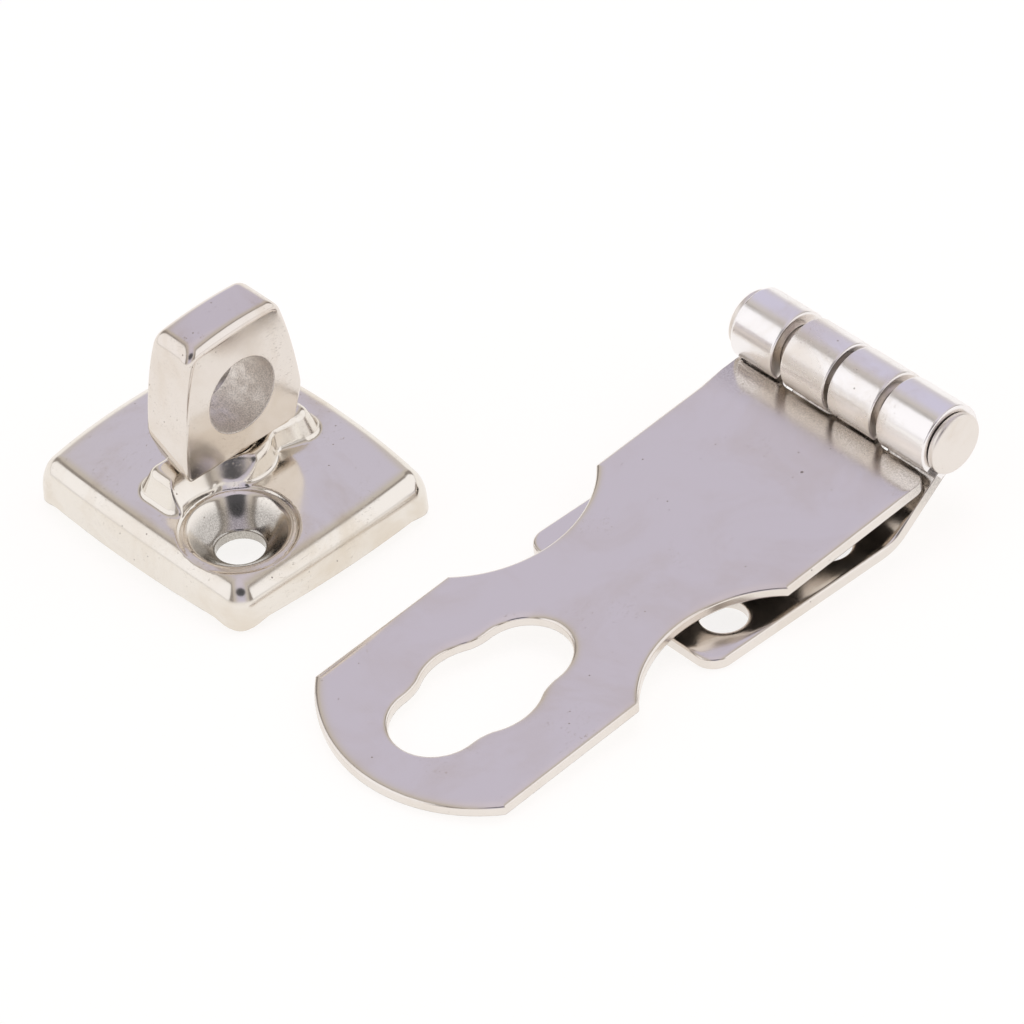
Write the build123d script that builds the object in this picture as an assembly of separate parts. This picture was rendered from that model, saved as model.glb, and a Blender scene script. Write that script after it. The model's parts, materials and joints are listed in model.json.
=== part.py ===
from build123d import *

import math
import os

# Swivel hasp and staple, pressed from stainless sheet.
# Row frame: +Z away from the mounting surface, +Y towards the hinge, +X along the hinge pin.
# Origin: the middle of the hasp's four mounting screws, on the mounting surface.
# "reach" is a distance from the hinge pin towards the tip of the leaf, so it runs along -Y.

# Sheet and overall sizes, in millimetres
sheet = 1.5
leaf_width = 29.0
half_width = leaf_width / 2
edge_round = 0.25

# Hinge
knuckle_radius = 4.2
pin_radius = knuckle_radius - sheet
pin_height = 10.1
pin_running_gap = 0.06
pin_head_radius = 3.55
pin_head_thickness = 0.9
pin_head_gap = 0.1
knuckle_spans = [(-14.5, -8.2), (-6.9, -0.4), (0.2, 6.6), (7.5, 14.5)]
leaf_knuckles = (0, 2)
base_knuckles = (1, 3)
seam_angle = 36.0
knuckle_slot_reach = 3.8
knuckle_slot_round = 1.2
leaf_root_corner = 2.0

# Hasp leaf outline, as reaches from the pin
waist_start = 24.7
waist_end = 46.4
waist_depth = 4.9
tip_arc_start = 65.5
tip_arc_radius = 19.3

# Slot in the hasp leaf: two end lobes and a wider middle lobe
slot_reach = 55.3
slot_lobe_offset = 6.2
slot_end_radius = 5.2
slot_middle_radius = 6.7

# Base leaf
base_leaf_end = 35.4
base_leaf_corner = 2.6
ramp_top_reach = 0.8
ramp_foot_reach = 8.6
ramp_top_radius = 2.0
ramp_foot_radius = 5.0
leaf_screw_radius = 2.6
leaf_screw_sink_radius = 3.3
leaf_screw_sink_depth = 0.7
leaf_screw_across = 19.0
leaf_screw_near_reach = 13.6
leaf_screw_far_reach = 29.0

# Staple base: a pressed rectangular dish, open underneath
staple_reach = 51.2
staple_across = -42.9
dish_length = 33.4
dish_width = 28.2
dish_corner = 2.8
dish_side_bow = 0.9
dish_height = 6.0
dish_dome = 0.7
dish_shoulder = 1.8
dish_foot_arch = 0.9
dish_foot_span = 12.0
staple_screw_across = 9.0
staple_screw_back = 6.9
staple_screw_radius = 2.7
dimple_radius = 5.8
dimple_depth = 2.3

# Boss on the dish that the slot of the leaf drops over
boss_length = 21.4
boss_half_width = 3.7
boss_corner = 1.8
boss_middle_radius = 5.2
boss_top = 9.3
boss_round = 0.8

# Swivel staple
head_gap = 0.35
head_thickness = 6.6
head_bottom_width = 17.0
head_shoulder_width = 16.2
head_shoulder_rise = 7.0
head_top_width = 12.6
head_rise = 17.0
head_corner_round = 1.6
head_edge_round = 0.7
padlock_hole_radius = 4.45
padlock_hole_rise = 7.5
stem_radius = 2.8
stem_running_gap = 0.08
stem_foot_radius = 3.8
stem_foot_thickness = 1.0

# Spring washer and retaining washer under the dish
washer_radius = 4.5
retainer_thickness = 1.0
spring_washer_thickness = 0.4
spring_washer_rise = 0.5
washer_gap = 0.05

# Places worked out from the sizes above
screw_middle_reach = (leaf_screw_near_reach + leaf_screw_far_reach) / 2
hinge_place = Location((0, screw_middle_reach, pin_height))
staple_place = Location((staple_across, screw_middle_reach - staple_reach, 0))
tip_reach = tip_arc_start - math.sqrt(tip_arc_radius**2 - half_width**2) + tip_arc_radius
tip_distance = math.hypot(tip_reach, knuckle_radius)
leaf_droop = math.degrees(math.asin(pin_height / tip_distance) - math.atan2(knuckle_radius, tip_reach))


def slab(x_low, x_high, reach_low, reach_high, z_low, z_high):
    """A block in the hinge's frame, with Y running back from the pin as minus reach."""
    block = Box(x_high - x_low, reach_high - reach_low, z_high - z_low)
    middle = ((x_low + x_high) / 2, -(reach_low + reach_high) / 2, (z_low + z_high) / 2)
    return Pos(*middle) * block


def across(section, x_low, x_high):
    """Sweep a section drawn as (reach, height) along the pin from x_low to x_high."""
    plane = Plane(origin=(x_low, 0, 0), x_dir=(0, -1, 0), z_dir=(-1, 0, 0))
    return extrude(plane * section, amount=x_low - x_high)


def knuckle_section(bore_radius):
    """A rolled knuckle: a ring open by a narrow seam where the curl meets its own leaf."""
    far = 2 * knuckle_radius
    seam = math.radians(-seam_angle)
    wedge = make_face(
        Polyline((0, 0), (far * math.cos(seam), far * math.sin(seam)), (far, -far), (0, -far), close=True)
    )
    return Circle(knuckle_radius) - Circle(bore_radius) - wedge


def knuckle(span, bore_radius):
    """One knuckle with the short foot that ties it to its leaf."""
    foot = Pos(ramp_top_reach / 2, -knuckle_radius + sheet / 2) * Rectangle(ramp_top_reach, sheet)
    return across(knuckle_section(bore_radius) + foot, *span)


def knuckle_slot(index):
    """The cut in a leaf that lets the other leaf's knuckle turn, up to its own neighbours."""
    x_low = knuckle_spans[index - 1][1] if index > 0 else -leaf_width
    x_high = knuckle_spans[index + 1][0] if index + 1 < len(knuckle_spans) else leaf_width
    cut = slab(x_low, x_high, -2 * knuckle_radius, knuckle_slot_reach, -2 * pin_height, 2 * knuckle_radius)
    bottom_corners = cut.edges().filter_by(Axis.Z).sort_by(Axis.Y)[:2]
    return fillet(bottom_corners, knuckle_slot_round)


def leaf_outline():
    """Plan of the hasp leaf: wide root, waisted neck, and a broad tip with a bowed end."""
    waist_middle = (waist_start + waist_end) / 2
    right = [
        Line((half_width, 0), (half_width, -waist_start)),
        ThreePointArc(
            (half_width, -waist_start),
            (half_width - waist_depth, -waist_middle),
            (half_width, -waist_end),
        ),
        Line((half_width, -waist_end), (half_width, -tip_arc_start)),
    ]
    tip = ThreePointArc((half_width, -tip_arc_start), (0, -tip_reach), (-half_width, -tip_arc_start))
    left = [edge.mirror(Plane.YZ) for edge in right]
    root = Line((-half_width, 0), (half_width, 0))
    return make_face(Wire(right + [tip] + left + [root]))


def slot_outline():
    """Three overlapping lobes along the leaf."""
    end = Circle(slot_end_radius)
    lobes = Circle(slot_middle_radius)
    for offset in (-slot_lobe_offset, slot_lobe_offset):
        lobes += Pos(0, offset) * end
    return Pos(0, -slot_reach) * lobes


def hasp_leaf():
    """The hinged cover leaf, drawn parallel to the surface and then dropped until its tip rests."""
    plate = Pos(0, 0, -knuckle_radius) * extrude(leaf_outline() - slot_outline(), amount=sheet)
    for index in base_knuckles:
        plate -= knuckle_slot(index)
    root_corner = Vector(half_width, -knuckle_slot_reach, -knuckle_radius + sheet / 2)
    plate = fillet(plate.edges().sort_by_distance(root_corner)[0], leaf_root_corner)
    plate = chamfer(plate.faces().sort_by(Axis.Z)[-1].outer_wire().edges(), edge_round)
    leaf = plate
    for index in leaf_knuckles:
        leaf += knuckle(knuckle_spans[index], pin_radius + pin_running_gap)
    return hinge_place * Rot(leaf_droop, 0, 0) * leaf


def base_leaf_section():
    """Side view of the base leaf: flat on the surface, then a ramp up to the knuckles."""
    top = -knuckle_radius
    bottom = -pin_height
    path = FilletPolyline(
        (0, top + sheet / 2),
        (ramp_top_reach, top + sheet / 2),
        (ramp_foot_reach, bottom + sheet / 2),
        (base_leaf_end, bottom + sheet / 2),
        radius=[ramp_top_radius, ramp_foot_radius],
    )
    return trace(path, line_width=sheet)


def screw_hole():
    """A clearance hole with a small countersink, cut downwards from the sheet's top face."""
    sink = Cone(leaf_screw_radius, leaf_screw_sink_radius, leaf_screw_sink_depth)
    return Cylinder(leaf_screw_radius, 4 * sheet) + Pos(0, 0, sheet - leaf_screw_sink_depth / 2) * sink


def base_leaf():
    """The leaf that is screwed down, with the two knuckles that hold the pin."""
    plate = across(base_leaf_section(), -half_width, half_width)
    end_corners = plate.edges().filter_by(Axis.Z).sort_by(Axis.Y)[:2]
    plate = fillet(end_corners, base_leaf_corner)
    for index in leaf_knuckles:
        plate -= knuckle_slot(index)
    leaf = plate
    for index in base_knuckles:
        leaf += knuckle(knuckle_spans[index], pin_radius)
    for x in (-leaf_screw_across / 2, leaf_screw_across / 2):
        for reach in (leaf_screw_near_reach, leaf_screw_far_reach):
            leaf -= Pos(x, -reach, -pin_height) * screw_hole()
    return hinge_place * leaf


def hinge_pin():
    """The pin, with a flat head at each end of the knuckles."""
    shank_length = leaf_width + 2 * pin_head_gap
    pin = Cylinder(pin_radius, shank_length)
    head = Cylinder(pin_head_radius, pin_head_thickness)
    head = fillet(head.edges().sort_by(Axis.Z)[-1], pin_head_thickness / 2)
    head_centre = (shank_length + pin_head_thickness) / 2
    for turn in (0, 180):
        pin += Rot(turn, 0, 0) * Pos(0, 0, head_centre) * head
    return hinge_place * Rot(0, 90, 0) * pin


def dish_outline(inset):
    """Rectangle with slightly bowed sides and round corners, drawn in by inset all round."""
    long_half = dish_length / 2 - inset
    short_half = dish_width / 2 - inset
    long_bow = long_half + dish_side_bow
    short_bow = short_half + dish_side_bow
    corners = [
        (long_half, -short_half),
        (long_half, short_half),
        (-long_half, short_half),
        (-long_half, -short_half),
    ]
    middles = [(long_bow, 0), (0, short_bow), (-long_bow, 0), (0, -short_bow)]
    sides = [
        ThreePointArc(corners[i], middles[i], corners[(i + 1) % 4]) for i in range(4)
    ]
    face = make_face(Wire(sides))
    return fillet(face.vertices(), dish_corner - inset)


def dish_body(inset):
    """Domed, round-shouldered block; the dish is one of these less a smaller one."""
    top = dish_height + dish_dome - inset
    sphere_radius = ((dish_length / 2) ** 2 + dish_dome**2) / (2 * dish_dome)
    block = extrude(dish_outline(inset), amount=2 * dish_height)
    dome = Pos(0, 0, top - sphere_radius) * Sphere(sphere_radius)
    body = block & dome
    rim = body.edges().filter_by(lambda edge: edge.center().Z > dish_height / 2)
    rim = rim.filter_by(Axis.Z, reverse=True)
    return fillet(rim, dish_shoulder - inset / 2)


def boss_outline(inset):
    """A bar with round-cornered ends and a bulging middle, narrower than the leaf's slot."""
    width = 2 * (boss_half_width - inset)
    bar = RectangleRounded(width, boss_length - 2 * inset, boss_corner - inset / 2)
    return bar + Circle(boss_middle_radius - inset)


def boss(inset):
    """Raised pad with rounded upper edges, from inside the dish to the boss's top."""
    top = boss_top - inset
    pad = Pos(0, 0, dish_height / 2) * extrude(boss_outline(inset), amount=top - dish_height / 2)
    upper = pad.faces().sort_by(Axis.Z)[-1].edges()
    return fillet(upper, boss_round - inset / 4)


def dimple(inset):
    """Funnel pressed round a screw; an inset of the sheet's thickness gives its underside."""
    top = dish_height + dish_dome
    bottom = dish_height - dimple_depth - inset
    flare = Cone(staple_screw_radius + inset, dimple_radius + inset, top - bottom)
    return Pos(0, 0, (top + bottom) / 2) * flare


def foot_arches():
    """Shallow hollows under each side, so that the dish stands on its four corners."""
    radius = (dish_foot_span**2 + dish_foot_arch**2) / (2 * dish_foot_arch)
    log = Cylinder(radius, 2 * dish_length)
    lying = Pos(0, 0, dish_foot_arch - radius)
    return lying * (Rot(90, 0, 0) * log + Rot(0, 90, 0) * log)


def screw_places():
    """The two screws stand on a diagonal of the dish."""
    return [
        Location((staple_screw_across, -staple_screw_back, 0)),
        Location((-staple_screw_across, staple_screw_back, 0)),
    ]


def staple_base():
    """Pressed dish with a lobed boss, two dimpled screw holes and the stem's hole."""
    dish = dish_body(0) + boss(0)
    hollow = dish_body(sheet) + boss(sheet)
    for place in screw_places():
        hollow -= place * dimple(sheet)
        dish -= place * dimple(0)
    dish = dish - hollow
    for place in screw_places():
        dish -= place * Cylinder(staple_screw_radius, 6 * dish_height)
    dish -= Cylinder(stem_radius + stem_running_gap, 6 * dish_height)
    dish -= foot_arches()
    return staple_place * dish


washer_top = dish_height + dish_dome - sheet - washer_gap - 0.1
spring_bottom = washer_top - spring_washer_thickness - spring_washer_rise
retainer_top = spring_bottom - washer_gap
retainer_bottom = retainer_top - retainer_thickness
head_bottom = boss_top + head_gap
head_top = head_bottom + head_rise


def head_outline():
    """Front view of the head: straight skirts, then sides that lean in to a narrower top."""
    points = [
        (head_bottom_width / 2, head_bottom),
        (head_shoulder_width / 2, head_bottom + head_shoulder_rise),
        (head_top_width / 2, head_top),
    ]
    mirrored = [(-x, z) for x, z in reversed(points)]
    face = make_face(Polyline(*points, *mirrored, close=True))
    upper = face.vertices().filter_by(lambda corner: corner.Y > head_bottom + 1)
    return fillet(upper, head_corner_round)


def swivel_staple():
    """Cast eye with its stem, headed over under the retaining washer."""
    front = Plane(origin=(head_thickness / 2, 0, 0), x_dir=(0, 1, 0), z_dir=(1, 0, 0))
    head = extrude(front * head_outline(), amount=-head_thickness)
    upper = head.edges().filter_by(lambda edge: edge.center().Z > head_bottom + 0.5)
    upper = upper.filter_by(Axis.X, reverse=True)
    head = fillet(upper, head_edge_round)
    eye = Pos(0, 0, head_bottom + padlock_hole_rise) * Rot(0, 90, 0)
    head -= eye * Cylinder(padlock_hole_radius, 2 * head_thickness)
    stem_bottom = retainer_bottom - stem_foot_thickness
    stem = Pos(0, 0, (stem_bottom + head_bottom) / 2) * Cylinder(stem_radius, head_bottom - stem_bottom)
    foot_centre = stem_bottom + stem_foot_thickness / 2
    foot = Pos(0, 0, foot_centre) * Cylinder(stem_foot_radius, stem_foot_thickness)
    return staple_place * (head + stem + foot)


def spring_washer():
    """Coned spring washer that keeps the swivel from rattling."""
    inner = stem_radius + stem_running_gap
    section = make_face(
        Polyline(
            (inner, spring_bottom),
            (washer_radius, spring_bottom + spring_washer_rise),
            (washer_radius, washer_top),
            (inner, spring_bottom + spring_washer_thickness),
            close=True,
        )
    )
    return staple_place * revolve(Plane.XZ * section, Axis.Z)


def retaining_washer():
    """Flat washer that the stem's foot is headed over against."""
    ring = Cylinder(washer_radius, retainer_thickness) - Cylinder(stem_radius, 2 * retainer_thickness)
    return staple_place * Pos(0, 0, retainer_top - retainer_thickness / 2) * ring


PARTS = {
    "hasp_leaf": hasp_leaf,
    "base_leaf": base_leaf,
    "hinge_pin": hinge_pin,
    "staple_base": staple_base,
    "swivel_staple": swivel_staple,
    "spring_washer": spring_washer,
    "retaining_washer": retaining_washer,
}

os.makedirs("parts", exist_ok=True)
for name, make in PARTS.items():
    export_step(make(), f"parts/{name}.step")
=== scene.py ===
import json
import math

import bpy
import numpy as np
from mathutils import Matrix, Vector
from mathutils.geometry import delaunay_2d_cdt


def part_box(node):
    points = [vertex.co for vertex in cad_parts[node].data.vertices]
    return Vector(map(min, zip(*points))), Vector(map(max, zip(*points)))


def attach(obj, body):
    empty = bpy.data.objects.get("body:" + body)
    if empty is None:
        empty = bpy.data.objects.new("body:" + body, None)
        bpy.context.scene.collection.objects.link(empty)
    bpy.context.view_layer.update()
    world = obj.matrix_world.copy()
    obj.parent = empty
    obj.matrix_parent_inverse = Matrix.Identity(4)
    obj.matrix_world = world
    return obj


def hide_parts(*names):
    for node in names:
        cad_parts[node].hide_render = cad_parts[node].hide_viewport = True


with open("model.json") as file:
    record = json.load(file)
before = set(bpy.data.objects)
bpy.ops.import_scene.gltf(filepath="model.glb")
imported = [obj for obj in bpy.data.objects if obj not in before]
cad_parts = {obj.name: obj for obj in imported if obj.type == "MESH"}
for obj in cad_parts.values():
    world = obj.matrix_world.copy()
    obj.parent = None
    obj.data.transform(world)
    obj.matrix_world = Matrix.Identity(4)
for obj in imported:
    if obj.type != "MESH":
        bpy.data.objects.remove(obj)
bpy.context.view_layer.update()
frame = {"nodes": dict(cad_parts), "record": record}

# Every length below is in millimetres in the row frame, and is turned into metres when a mesh is made.
MM = 0.001
JOINTS = {joint["name"]: joint for joint in frame["record"]["behaviour"]["joints"]}
PIN = np.array(JOINTS["leaf_swing"]["pos_m"]) / MM
STAPLE = np.array(JOINTS["staple_swivel"]["pos_m"]) / MM

SHEET = 1.5
BASE_LOW, BASE_HIGH = (np.array(corner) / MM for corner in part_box("base_leaf"))
DISH_LOW, DISH_HIGH = (np.array(corner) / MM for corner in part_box("staple_base"))
HEAD_LOW, HEAD_HIGH = (np.array(corner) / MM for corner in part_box("swivel_staple"))
PIN_LOW, PIN_HIGH = (np.array(corner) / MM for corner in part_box("hinge_pin"))
HALF_WIDTH = (BASE_HIGH[0] - BASE_LOW[0]) / 2
KNUCKLE_RADIUS = BASE_HIGH[2] - PIN[2]
SCREW_ACROSS_DISH, SCREW_BACK_DISH = 9.0, 6.9

MOUNTS = {mount["name"]: mount for mount in frame["record"]["mounts"]}
EYE_HEIGHT = MOUNTS["padlock_hole"]["pos_m"][2] / MM
EYE_RADIUS = MOUNTS["padlock_hole"]["dims"]["r_mm"]


# ---------------------------------------------------------------- materials

def node(tree, kind, **settings):
    """Add a node and set its plain properties."""
    made = tree.nodes.new(kind)
    for name, value in settings.items():
        setattr(made, name, value)
    return made


def feed(tree, target, sockets):
    """Give a node's inputs their values: a socket is linked, anything else is a constant."""
    for name, value in sockets.items():
        if isinstance(value, bpy.types.NodeSocket):
            tree.links.new(value, target.inputs[name])
        else:
            target.inputs[name].default_value = value
    return target


def noise(tree, where, scale, detail=4.0, roughness=0.55, distortion=0.0):
    made = node(tree, "ShaderNodeTexNoise")
    feed(tree, made, {"Vector": where, "Scale": scale, "Detail": detail,
                      "Roughness": roughness, "Distortion": distortion})
    return made.outputs["Fac"]


def ramp(tree, value, low, high, to_low=0.0, to_high=1.0, smooth=True):
    made = node(tree, "ShaderNodeMapRange", interpolation_type="SMOOTHSTEP" if smooth else "LINEAR")
    feed(tree, made, {"Value": value, "From Min": low, "From Max": high,
                      "To Min": to_low, "To Max": to_high})
    return made.outputs["Result"]


def math_node(tree, operation, first, second=0.0, third=0.0):
    made = node(tree, "ShaderNodeMath", operation=operation)
    for index, value in enumerate((first, second, third)):
        if isinstance(value, bpy.types.NodeSocket):
            tree.links.new(value, made.inputs[index])
        else:
            made.inputs[index].default_value = value
    return made.outputs["Value"]


def mix_colour(tree, factor, first, second):
    made = node(tree, "ShaderNodeMix", data_type="RGBA")
    for name, value in (("Factor", factor), ("A", first), ("B", second)):
        socket = [s for s in made.inputs if s.name == name and s.enabled][0]
        if isinstance(value, bpy.types.NodeSocket):
            tree.links.new(value, socket)
        else:
            socket.default_value = value
    return [s for s in made.outputs if s.enabled][0]


def bump(tree, height, strength, distance, normal=None):
    made = node(tree, "ShaderNodeBump")
    feed(tree, made, {"Height": height, "Strength": strength, "Distance": distance})
    if normal is not None:
        tree.links.new(normal, made.inputs["Normal"])
    return made.outputs["Normal"]


def scaled(tree, where, stretch):
    made = node(tree, "ShaderNodeMapping", vector_type="POINT")
    feed(tree, made, {"Vector": where, "Scale": stretch})
    return made.outputs["Vector"]


def specks(tree, where, scale, size, share):
    """Small round marks in some of the cells of a random pattern: 1 in a mark, 0 elsewhere."""
    cells = node(tree, "ShaderNodeTexVoronoi")
    feed(tree, cells, {"Vector": where, "Scale": scale})
    pick = node(tree, "ShaderNodeSeparateColor")
    tree.links.new(cells.outputs["Color"], pick.inputs["Color"])
    mark = ramp(tree, cells.outputs["Distance"], size, size * 0.5)
    return math_node(tree, "MULTIPLY", mark, math_node(tree, "LESS_THAN", pick.outputs[0], share))


def distance_from_axis(tree, where, axis, centre):
    """Distance in metres from a line along one axis through a centre given in millimetres."""
    keep = Vector([0.0 if k == axis else 1.0 for k in range(3)])
    moved = node(tree, "ShaderNodeVectorMath", operation="SUBTRACT")
    feed(tree, moved, {0: where, 1: Vector(centre) * MM})
    flat = node(tree, "ShaderNodeVectorMath", operation="MULTIPLY")
    feed(tree, flat, {0: moved.outputs["Vector"], 1: keep})
    length = node(tree, "ShaderNodeVectorMath", operation="LENGTH")
    tree.links.new(flat.outputs["Vector"], length.inputs[0])
    return length.outputs["Value"]


# Sizes of the textures, as repeats in a metre: the larger the number, the finer the texture.
HANDLING, SLOW_WAVES, SCUFF_PATCHES = 95.0, 130.0, 170.0
STREAKS, CLOUDS, SCUFF_LINES = 420.0, 700.0, 1500.0
LARGE_PITS, SMALL_PITS = 310.0, 900.0
FINE_GRAIN, SAND = 5200.0, 6500.0

# Depths in metres, and what the brown of handling, pits and scratches does to the colour.
PIT_DEPTH, SCRATCH_DEPTH, MICROMETRE = 18e-6, 6e-6, 1e-6
BROWNING = (0.10, 0.14, 0.20)
PIT_COLOUR = (0.24, 0.20, 0.17, 1)
SCRATCH_COLOUR = (0.36, 0.29, 0.23, 1)


def scuffs(tree, where, low):
    """Patches of short, thin scratches: 1 on a scratch, 0 elsewhere."""
    patch = ramp(tree, noise(tree, where, SCUFF_PATCHES, 2.0), low, low + 0.09)
    drawn_out = scaled(tree, where, (2.2, 1.0, 3.0))
    lines = ramp(tree, noise(tree, drawn_out, SCUFF_LINES, 3.0, 0.8, 1.2), 0.60, 0.70)
    return math_node(tree, "MULTIPLY", patch, lines)


def steel(name, tint, gloss, wave, grain=0.4, marks=0.25, lines=(1, 1, 1), worn=0.60, stained=1.0,
          zones=()):
    """Polished stainless steel.

    gloss is the least roughness, wave the height of the slow unevenness in metres, grain the height of the
    fine polish texture in micrometres, marks the share of cells with a pit, lines the stretch of the
    polishing lines, worn the level above which scratches show, so a lower value gives more of them, and
    stained how brown the handled patches are.
    Each zone is an (axis, centre, radius, soft edge, roughness, grain, tone) round a line along one axis,
    with its lengths in millimetres and its grain in metres."""
    made = bpy.data.materials.new(name)
    made.use_nodes = True
    tree = made.node_tree
    shader = tree.nodes["Principled BSDF"]
    where = node(tree, "ShaderNodeTexCoord").outputs["Object"]

    handled = noise(tree, where, HANDLING, 5.0, 0.6, 0.6)
    streaks = noise(tree, scaled(tree, where, lines), STREAKS, 6.0, 0.7)
    pits = math_node(tree, "MAXIMUM", specks(tree, where, LARGE_PITS, 0.075, marks),
                     specks(tree, where, SMALL_PITS, 0.10, marks))
    scratched = scuffs(tree, where, worn)
    fine = noise(tree, where, FINE_GRAIN, 2.0, 0.6)

    brown = [part * (1 - loss * stained) for part, loss in zip(tint, BROWNING)]
    stain = mix_colour(tree, ramp(tree, handled, 0.42, 0.70), (*tint, 1), (*brown, 1))
    colour = mix_colour(tree, math_node(tree, "MULTIPLY", pits, 0.8), stain, PIT_COLOUR)
    colour = mix_colour(tree, math_node(tree, "MULTIPLY", scratched, 0.5), colour, SCRATCH_COLOUR)
    rough = math_node(tree, "ADD", ramp(tree, handled, 0.35, 0.75, gloss, gloss * 1.9),
                      ramp(tree, streaks, 0.45, 0.85, 0.0, 0.06))
    slow = noise(tree, where, SLOW_WAVES, 2.0, 0.45)
    normal = bump(tree, slow, 1.0, wave)
    normal = bump(tree, streaks, 1.0, grain * 1.6 * MICROMETRE, normal)
    normal = bump(tree, fine, 1.0, grain * MICROMETRE, normal)
    normal = bump(tree, pits, 1.0, -PIT_DEPTH, normal)
    normal = bump(tree, scratched, 1.0, -SCRATCH_DEPTH, normal)

    sand = noise(tree, where, SAND, 4.0, 0.75)
    cloud = noise(tree, where, CLOUDS, 3.0, 0.6)
    # A zone's tone scales its colour; a tone below 1 is painted shade, as round the hinge and in the
    # dish's funnels.
    for axis, centre, radius, soft, dull, height, tone in zones:
        distance = distance_from_axis(tree, where, axis, centre)
        inside = ramp(tree, distance, (radius + soft) * MM, radius * MM)
        grey = mix_colour(tree, ramp(tree, sand, 0.35, 0.65), (*(c * 0.6 * tone for c in tint), 1),
                          (*(c * 1.1 * tone for c in tint), 1))
        colour = mix_colour(tree, math_node(tree, "MULTIPLY", inside, 0.85), colour, grey)
        duller = ramp(tree, cloud, 0.3, 0.7, dull * 0.6, dull * 1.3)
        rough = math_node(tree, "ADD", rough, math_node(tree, "MULTIPLY", inside, duller))
        normal = bump(tree, math_node(tree, "MULTIPLY", sand, inside), 1.0, height, normal)

    feed(tree, shader, {"Base Color": colour, "Metallic": 1.0, "Roughness": rough, "Normal": normal})
    return made


TINT = (0.82, 0.77, 0.72)
ROLLED_TINT = (0.92, 0.895, 0.885)
DISH_TINT = (0.825, 0.78, 0.715)
EYE_TINT = (0.79, 0.735, 0.68)
PLAIN_TINT = (0.62, 0.60, 0.58)
DISH_SCREWS = [(STAPLE[0] + side * SCREW_ACROSS_DISH, STAPLE[1] - side * SCREW_BACK_DISH, 0.0)
               for side in (1, -1)]
EYE_CENTRE = (STAPLE[0], STAPLE[1], EYE_HEIGHT)

# Zones: painted shade round the hinge, the rough bore of the eye, and painted shade in the funnels of the
# dish.
# Painted shade: the steel round the hinge pin is darkened, standing in for the shadow under the knuckles
# and in the slots.
HINGE_PAINTED_SHADE = (0, PIN, 4.4, 5.2, 0.0, 1e-6, 0.84)
CAST_BORE = (0, EYE_CENTRE, EYE_RADIUS + 0.14, 0.04, 0.42, 30e-6, 1.05)
# Painted shade: the funnels round the dish's screws are darkened, as shade falls in a recess.
FUNNEL_PAINTED_SHADE = [(2, screw, 4.4, 1.3, 0.04, 1.5e-6, 0.62) for screw in DISH_SCREWS]

LEAF_STEEL = steel("leaf_steel", TINT, 0.125, 9e-6, grain=0.5, marks=0.10, lines=(4, 0.3, 4),
                   worn=0.58, stained=0.4, zones=[HINGE_PAINTED_SHADE])
ROLLED_STEEL = steel("rolled_steel", ROLLED_TINT, 0.17, 8e-6, grain=5.0, marks=0.12,
                     lines=(0.12, 6, 6), worn=0.52)
PIN_STEEL = steel("pin_steel", TINT, 0.30, 4e-6, grain=1.5, marks=0.10, worn=0.64)
DISH_STEEL = steel("dish_steel", DISH_TINT, 0.12, 26e-6, marks=0.14, worn=0.45, stained=0.95,
                   zones=FUNNEL_PAINTED_SHADE)
EYE_STEEL = steel("eye_steel", EYE_TINT, 0.11, 34e-6, grain=0.8, marks=0.24, worn=0.47, stained=0.8,
                  zones=[CAST_BORE])
PLAIN_STEEL = steel("plain_steel", PLAIN_TINT, 0.28, 10e-6, grain=1.5, lines=(0.1, 1, 1))


# ---------------------------------------------------------------- meshes

def unit(vectors):
    return vectors / np.maximum(np.linalg.norm(vectors, axis=-1, keepdims=True), 1e-12)


def add_piece(name, points, faces, normals, materials, body, cad_nodes):
    """Make a piece from points in millimetres and its exact surface directions."""
    mesh = bpy.data.meshes.new(name)
    mesh.from_pydata((points * MM).tolist(), [], faces)
    mesh.shade_smooth()
    mesh.validate()
    mesh.normals_split_custom_set_from_vertices(normals.tolist())
    for material in materials:
        mesh.materials.append(material)
    if len(materials) > 1:
        rolled = np.linalg.norm((points - PIN)[:, 1:], axis=1) < KNUCKLE_RADIUS + 0.05
        starts = [polygon.vertices[0] for polygon in mesh.polygons]
        mesh.polygons.foreach_set("material_index", rolled[starts].astype(np.int32))
    piece = bpy.data.objects.new(name, mesh)
    bpy.context.scene.collection.objects.link(piece)
    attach(piece, body)
    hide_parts(*cad_nodes)
    return piece


# Pressed and cast pieces: a field that is negative inside is meshed on a grid, and each point is then
# moved onto the exact surface, whose slope also gives the shading direction.

def surface_cells(inside, values, corners, step):
    """For each grid cell that the surface crosses, the mean of its edge crossings."""
    shape = tuple(n - 1 for n in inside.shape)
    total, number = np.zeros(shape + (3,)), np.zeros(shape)
    for axis in range(3):
        first = tuple(slice(0, -1) if k == axis else slice(None) for k in range(3))
        second = tuple(slice(1, None) if k == axis else slice(None) for k in range(3))
        low, high = values[first], values[second]
        crossing = inside[first] != inside[second]
        share = np.where(crossing, low / np.where(crossing, low - high, 1.0), 0.0)
        place = corners[first].copy()
        place[..., axis] += share * step
        place *= crossing[..., None]
        others = [k for k in range(3) if k != axis]
        for shift in ((0, 0), (0, 1), (1, 0), (1, 1)):
            cut = [slice(None)] * 3
            for other, offset in zip(others, shift):
                cut[other] = slice(offset, offset + shape[other])
            total += place[tuple(cut)]
            number += crossing[tuple(cut)]
    return total, number


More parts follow.
